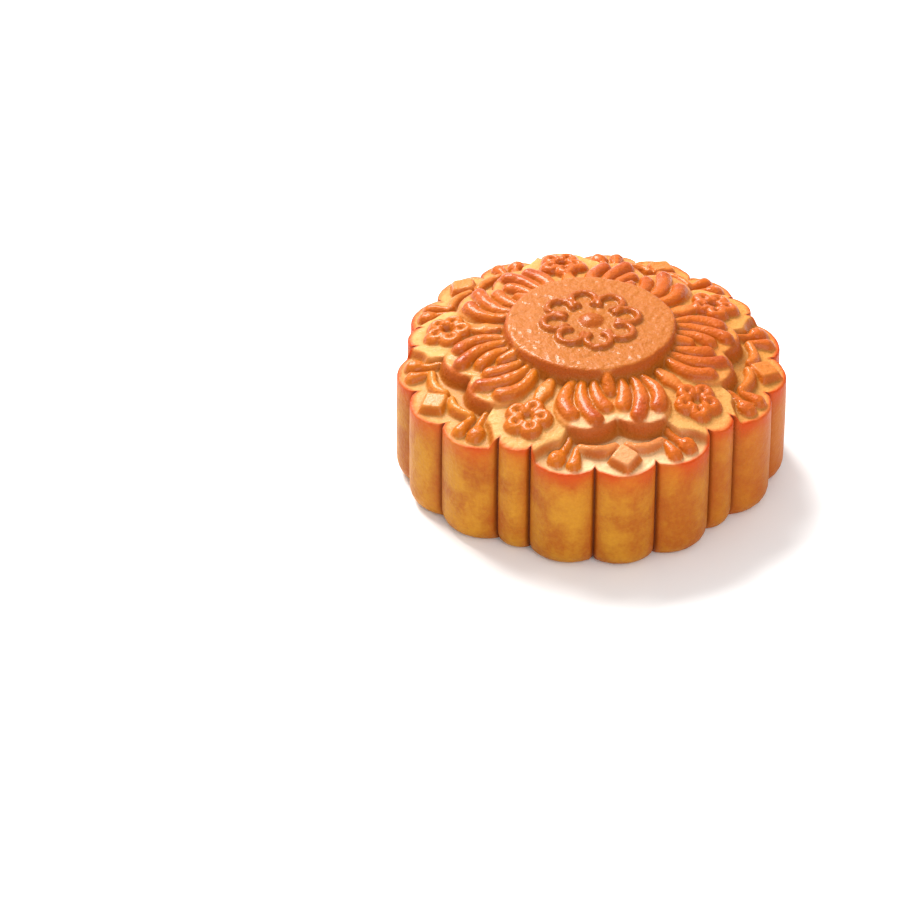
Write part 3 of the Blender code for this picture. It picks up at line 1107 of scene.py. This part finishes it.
    def masks(self, points: Places, relief: Relief, heights: Raster, side: Places) -> dict[str, Places]:
        """Works out the finish masks.

        Args:
            points: All the mesh's points in millimetres.
            relief: The relief over the top's points.
            heights: The top's height.
            side: The wall's points, by row and column.

        Returns:
            One value from 0 to 1 for each point, by mask.
        """
        count = len(relief.height)
        x, y, height = points.T
        angle, radius = np.arctan2(y, x), np.hypot(x, y)
        masks = {name: np.zeros(len(points)) for name in MASKS}
        masks["glaze"][:count] = np.clip(relief.glaze, 0.0, 1.0)
        masks["bake"][:count] = relief.bake
        # How far each place lies in a crevice: there the colour takes partly the tone of pooled glaze,
        # partly painted shade.
        masks["crevice_tone_and_shade"][:count] = self.crevices(heights).at(x[:count], y[:count])
        slopes = heights.blurred(0.6).slope().at(x[:count], y[:count])
        # Steep faces coloured deeper: partly browned crust, partly painted shade.
        masks["face"][:count] = smooth_step(*self.face_shade_slopes, slopes)
        start = np.minimum(np.arange(1, len(side) + 1) / self.wall.rim_rows, 1.0)
        masks["side"][count:] = np.append(np.repeat(start, side.shape[1]), 1.0)
        down = side[0, :, 2] + self.wall.rim_radius - side[:, :, 2]
        down_fade, inward_fade = self.wall.rim_fade
        masks["rim"][count:-1] = np.exp(-((np.maximum(down, 0.0) / down_fade) ** 1.5)).ravel()
        inward = self.outline.reach(angle[:count]) - radius[:count]
        masks["rim"][:count] = 0.9 * np.exp(-((inward / inward_fade) ** 4))
        # Painted shade in and beside the wall's grooves.
        groove = np.exp(-self.outline.to_groove(angle) / self.groove_shade_fade)
        masks["groove"][count:] = groove[count:]
        masks["disc"][:count] = 1 - smooth_step(-0.8, 0.2, radius[:count] - self.levels.disc_radius)
        off = self.outline.folded(angle[:count])
        lowered = self.levels.ground(radius[:count], off, self.outline)[1]
        from_first = np.abs(angle[:count] + math.pi / 2)
        # Painted sheen: the first lobe's shelf is painted pale where the light behind reflects.
        masks["shelf"][:count] = lowered * smooth_step(*self.sheen_shelf_angles, from_first)
        # Darker towards one side of the cake, on top and wall: partly uneven baking, partly painted
        # shade; the other side is paler, partly painted light.
        masks["bake_and_shade_side"] = 0.5 + 0.5 * radius / self.nominal_radius * np.cos(angle - self.bake_and_shade_turn)
        return masks


def linear(red: float, green: float, blue: float) -> tuple[float, float, float, float]:
    """A colour given as 0 to 255 display values, as the linear values that shaders take."""
    shares = (red / 255, green / 255, blue / 255)
    return (*(s / 12.92 if s <= 0.04045 else ((s + 0.055) / 1.055) ** 2.4 for s in shares), 1.0)


class Graph:
    """A material's nodes, made one call at a time."""

    def __init__(self, material: bpy.types.Material) -> None:
        """Starts with the material's own shader and output.

        Args:
            material: The material.
        """
        material.use_nodes = True
        self.tree = material.node_tree
        self.shader = self.tree.nodes["Principled BSDF"]
        self.coordinates: bpy.types.NodeSocket | None = None

    def node(self, kind: str, inputs: dict, **settings: object) -> bpy.types.Node:
        """Adds a node.

        Args:
            kind: Its type's identifier.
            inputs: Values or sockets for its inputs, by name or index.
            **settings: Its other properties.

        Returns:
            The node.
        """
        made = self.tree.nodes.new(kind)
        for name, value in settings.items():
            setattr(made, name, value)
        for name, value in inputs.items():
            if isinstance(value, bpy.types.NodeSocket):
                self.tree.links.new(value, made.inputs[name])
            else:
                made.inputs[name].default_value = value
        return made

    def mask(self, name: str) -> bpy.types.NodeSocket:
        """One of the masks kept on the mesh's points."""
        return self.node("ShaderNodeAttribute", {}, attribute_name=name).outputs["Fac"]

    def math(self, operation: str, *values: object) -> bpy.types.NodeSocket:
        """A sum, product or other operation on values, held between 0 and 1."""
        inputs = dict(enumerate(values))
        return self.node("ShaderNodeMath", inputs, operation=operation, use_clamp=True).outputs[0]

    def blend(self, share: object, first: object, second: object) -> bpy.types.NodeSocket:
        """A mix of two colours, all the second one where share is 1."""
        made = self.node("ShaderNodeMix", {0: share, 6: first, 7: second}, data_type="RGBA")
        return made.outputs[2]

    def feed(self, name: str, source: bpy.types.NodeSocket) -> None:
        """Links a socket to one of the shader's own inputs."""
        self.tree.links.new(source, self.shader.inputs[name])

    def noise(self, scale: float, detail: float = 3.0, roughness: float = 0.5) -> bpy.types.NodeSocket:
        """Noise over the piece's own coordinates.

        Args:
            scale: Features per metre.
            detail: How many finer layers it has.
            roughness: How strong they are.

        Returns:
            The noise's socket.
        """
        if self.coordinates is None:
            self.coordinates = self.node("ShaderNodeTexCoord", {}).outputs["Object"]
        inputs = {"Vector": self.coordinates, "Scale": scale, "Detail": detail, "Roughness": roughness}
        return self.node("ShaderNodeTexNoise", inputs).outputs["Fac"]

    def stretch(
        self, value: object, low: float, high: float, start: float = 0.0, end: float = 1.0
    ) -> bpy.types.NodeSocket:
        """A value between low and high, spread evenly from start to end and held there.

        Args:
            value: The value, as a number or a socket.
            low: The value that becomes start.
            high: The value that becomes end.
            start: The first result.
            end: The last result.

        Returns:
            The result's socket.
        """
        inputs = {"Value": value, "From Min": low, "From Max": high, "To Min": start, "To Max": end}
        return self.node("ShaderNodeMapRange", inputs).outputs[0]


@dataclass(frozen=True)
class CrustFinish:
    """The baked crust: pale where the mould's floor was, orange and glossy where egg glaze sat."""

    floor: tuple = linear(212, 154, 88)  # the ground between ornaments, and below on its darker side
    # the ground on the side coloured darker: partly uneven baking, partly painted shade
    floor_baked_shaded_side: tuple = linear(206, 138, 64)
    # painted sheen on the first lobe's shelf
    shelf: tuple = linear(240, 200, 152)
    # olive: mottle of the ground, and in crevices partly pooled glaze, partly painted shade
    olive: tuple = linear(156, 96, 26)
    glazed: tuple = linear(196, 98, 16)
    # glaze on the paler side: partly less baked, partly a painted glow of the key light
    glazed_gold_lit_side: tuple = linear(196, 110, 10)
    disc: tuple = linear(164, 82, 2)
    browned: tuple = linear(164, 66, 10)
    # steep faces: partly browned crust, partly painted shade
    face: tuple = linear(166, 76, 14)
    gold: tuple = linear(190, 130, 32)
    gold_deep: tuple = linear(160, 84, 14)
    # wall on the side coloured darker: partly uneven baking, partly painted shade
    wall_baked_shaded_side: tuple = linear(178, 88, 24)
    rim: tuple = linear(188, 66, 6)
    # painted shade beside the wall's grooves, and darker painted shade along their bottoms
    groove_side_shade: tuple = linear(160, 74, 16)
    groove: tuple = linear(84, 30, 8)
    roughness: tuple[float, float] = (0.5, 0.36)  # of the bare and of the glazed crust
    coat: tuple[float, float] = (0.04, 0.26)  # weight of the glaze on them
    coat_roughness: float = 0.12
    specular: float = 0.12
    subsurface: float = 0.06
    subsurface_radius: tuple[float, float, float] = (1.0, 0.45, 0.2)
    subsurface_scale: float = 0.0015
    grit_depth: float = 0.00055

    def make(self) -> bpy.types.Material:
        """Builds the material from the masks and noise.

        The top is the ground's colour under that of the glaze, then browned patches, steep faces coloured
        deeper (partly browned crust, partly painted shade) and an olive tone in crevices (partly pooled
        glaze, partly painted shade); the first lobe's shelf is painted pale as a sheen. On top and wall
        one side is coloured darker, partly uneven baking and partly painted shade, and the other side's
        glaze more golden, partly painted light. The wall is two golds mixed unevenly, with painted shade
        in and beside its grooves, and a browned rim.

        Returns:
            The crust.
        """
        material = bpy.data.materials.new("baked_crust")
        graph = Graph(material)
        glaze, bake, side, bake_and_shade_side = (graph.mask(name) for name in ("glaze", "bake", "side", "bake_and_shade_side"))
        patches, grain = graph.noise(150.0, 4.0), graph.noise(1100.0, 5.0, 0.7)
        # The ground darkens towards one side: partly uneven baking, partly painted shade.
        floor = graph.blend(graph.stretch(bake_and_shade_side, 0.45, 0.95), self.floor, self.floor_baked_shaded_side)
        floor = graph.blend(graph.stretch(grain, 0.5, 0.75, 0.0, 0.5), floor, self.olive)
        # Painted sheen: the first lobe's shelf turns pale.
        floor = graph.blend(graph.mask("shelf"), floor, self.shelf)
        # The glaze turns golden on the paler side: partly less baked, partly painted light.
        glazed = graph.blend(graph.stretch(bake_and_shade_side, 0.1, 0.5), self.glazed_gold_lit_side, self.glazed)
        top = graph.blend(glaze, floor, graph.blend(graph.mask("disc"), glazed, self.disc))
        patchy = graph.math("MULTIPLY", bake, graph.stretch(patches, 0.3, 0.65, 0.6, 1.5))
        top = graph.blend(patchy, top, self.browned)
        # Steep faces coloured deeper: partly browned crust, partly painted shade.
        top = graph.blend(graph.math("MULTIPLY", graph.mask("face"), 0.95), top, self.face)
        # Olive darkening in crevices: partly pooled glaze's tone, partly painted shade.
        top = graph.blend(graph.math("MULTIPLY", graph.mask("crevice_tone_and_shade"), 0.6), top, self.olive)
        fine = graph.stretch(grain, 0.35, 0.75, 0.0, 0.5)
        wide = graph.stretch(patches, 0.38, 0.62, 0.0, 0.7)
        wall = graph.blend(graph.math("ADD", fine, wide), self.gold, self.gold_deep)
        # The wall darkens towards one side: partly uneven baking, partly painted shade.
        wall = graph.blend(graph.stretch(bake_and_shade_side, 0.3, 0.9, 0.0, 0.75), wall, self.wall_baked_shaded_side)
        groove = graph.mask("groove")
        # Painted shade beside the grooves.
        wall = graph.blend(graph.stretch(groove, 0.08, 0.7, 0.0, 0.7), wall, self.groove_side_shade)
        rim = graph.math("MULTIPLY", graph.mask("rim"), graph.stretch(patches, 0.3, 0.6, 0.6, 1.1))
        colour = graph.blend(rim, graph.blend(side, top, wall), self.rim)
        # Darker painted shade along the grooves' bottoms.
        colour = graph.blend(graph.stretch(groove, 0.62, 1.0), colour, self.groove)
        graph.feed("Base Color", colour)
        dull = graph.math("MULTIPLY", graph.mask("face"), 0.7)
        shine = graph.math("SUBTRACT", graph.math("SUBTRACT", glaze, side), dull)
        graph.feed("Roughness", graph.stretch(shine, 0.0, 1.0, *self.roughness))
        graph.feed("Coat Weight", graph.stretch(shine, 0.0, 1.0, *self.coat))
        rough = graph.stretch(graph.math("SUBTRACT", side, graph.mask("disc")), -1.0, 1.0, 1.0, 0.35)
        grit = graph.math("MULTIPLY", graph.noise(1150.0, 3.0, 0.6), rough)
        depths = {"Height": grit, "Strength": 1.0, "Distance": self.grit_depth}
        bump = graph.node("ShaderNodeBump", depths)
        graph.feed("Normal", bump.outputs[0])
        for name, value in (
            ("Specular IOR Level", self.specular),
            ("Coat Roughness", self.coat_roughness),
            ("Subsurface Weight", self.subsurface),
            ("Subsurface Radius", self.subsurface_radius),
            ("Subsurface Scale", self.subsurface_scale),
        ):
            graph.shader.inputs[name].default_value = value
        return material


@dataclass(frozen=True)
class Lamp:
    """A square soft light: its place right of, away behind and above the cake, in millimetres."""

    name: str
    place: tuple[float, float, float]
    size: float  # millimetres
    power: float  # watts
    colour: tuple[float, float, float] = (1.0, 0.99, 0.97)


@dataclass(frozen=True)
class Studio:
    """A plain pale floor, soft light from the upper left and behind, and the camera."""

    turn: float = math.radians(9.71)
    tilt: float = math.radians(35.08)
    distance: float = 901.32
    lens: float = 174.44
    aim_right: float = -28.4  # of the picture's middle, from the cake's base, along the camera's right
    aim_up: float = 1.01
    sensor: float = 36.0
    clip: tuple[float, float] = (0.05, 20.0)  # metres
    lamps: tuple[Lamp, ...] = (
        Lamp("key", (-260, 430, 600), 380, 11.5),
        Lamp("fill", (150, -600, 350), 500, 2.2),
    )
    lamp_target: float = 0.015  # height in metres that the lamps point at
    room_light: float = 0.68
    floor_reach: float = 4.0  # metres
    floor_paint: tuple[float, float, float, float] = (0.94, 0.94, 0.94, 1)
    floor_roughness: float = 0.6

    def axes(self) -> tuple[Vector, Vector, Vector]:
        """The camera's own directions.

        Returns:
            Right, up and backward.
        """
        c, s = math.cos(self.turn), math.sin(self.turn)
        level, rise = math.cos(self.tilt), math.sin(self.tilt)
        right, up = Vector((c, -s, 0)), Vector((rise * s, rise * c, level))
        return right, up, Vector((-level * s, -level * c, rise))

    def camera(self) -> None:
        """Places the scene's camera."""
        right, up, back = self.axes()
        place = (right * self.aim_right + up * self.aim_up + back * self.distance) * MM
        data = bpy.data.cameras.new("camera")
        data.lens = self.lens
        data.sensor_width = self.sensor
        data.clip_start, data.clip_end = self.clip
        camera = bpy.data.objects.new("camera", data)
        camera.matrix_world = Matrix((right, up, back)).transposed().to_4x4()
        camera.location = place
        bpy.context.scene.collection.objects.link(camera)
        bpy.context.scene.camera = camera

    def hang(self, lamp: Lamp) -> None:
        """Adds a lamp that faces the cake.

        Args:
            lamp: The lamp.
        """
        right, _, back = self.axes()
        away = Vector((-back.x, -back.y, 0)).normalized()
        spot = (right * lamp.place[0] + away * lamp.place[1] + Vector((0, 0, lamp.place[2]))) * MM
        data = bpy.data.lights.new(lamp.name, "AREA")
        data.size, data.energy, data.color = lamp.size * MM, lamp.power, lamp.colour
        light = bpy.data.objects.new(lamp.name, data)
        light.location = spot
        light.rotation_mode = "QUATERNION"
        light.rotation_quaternion = (spot - Vector((0, 0, self.lamp_target))).to_track_quat("Z", "Y")
        bpy.context.scene.collection.objects.link(light)

    def lay_floor(self) -> None:
        """Makes the pale floor that the cake stands on."""
        reach = self.floor_reach
        corners = [(-reach, -reach, 0), (reach, -reach, 0), (reach, reach, 0), (-reach, reach, 0)]
        mesh = bpy.data.meshes.new("floor")
        mesh.from_pydata(corners, [], [(0, 1, 2, 3)])
        floor = bpy.data.objects.new("floor", mesh)
        bpy.context.scene.collection.objects.link(floor)
        paint = bpy.data.materials.new("pale_floor")
        graph = Graph(paint)
        graph.shader.inputs["Base Color"].default_value = self.floor_paint
        graph.shader.inputs["Roughness"].default_value = self.floor_roughness
        mesh.materials.append(paint)

    def build(self) -> None:
        """Makes the floor, the surrounding light, the lamps and the camera."""
        self.lay_floor()
        world = bpy.data.worlds.new("room")
        world.use_nodes = True
        background = world.node_tree.nodes["Background"]
        background.inputs["Color"].default_value = (1, 1, 1, 1)
        background.inputs["Strength"].default_value = self.room_light
        bpy.context.scene.world = world
        for lamp in self.lamps:
            self.hang(lamp)
        self.camera()
        bpy.context.scene.view_settings.view_transform = "Standard"


def main() -> None:
    logging.basicConfig(level=logging.INFO, format="%(name)s: %(message)s")
    cake = Mooncake().build()
    cake.data.materials.append(CrustFinish().make())
    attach(cake, BODY)
    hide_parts(NODE)
    log.info("%s has %d points and %d faces", cake.name, len(cake.data.vertices), len(cake.data.polygons))
    Studio().build()


if __name__ == "__main__":
    main()
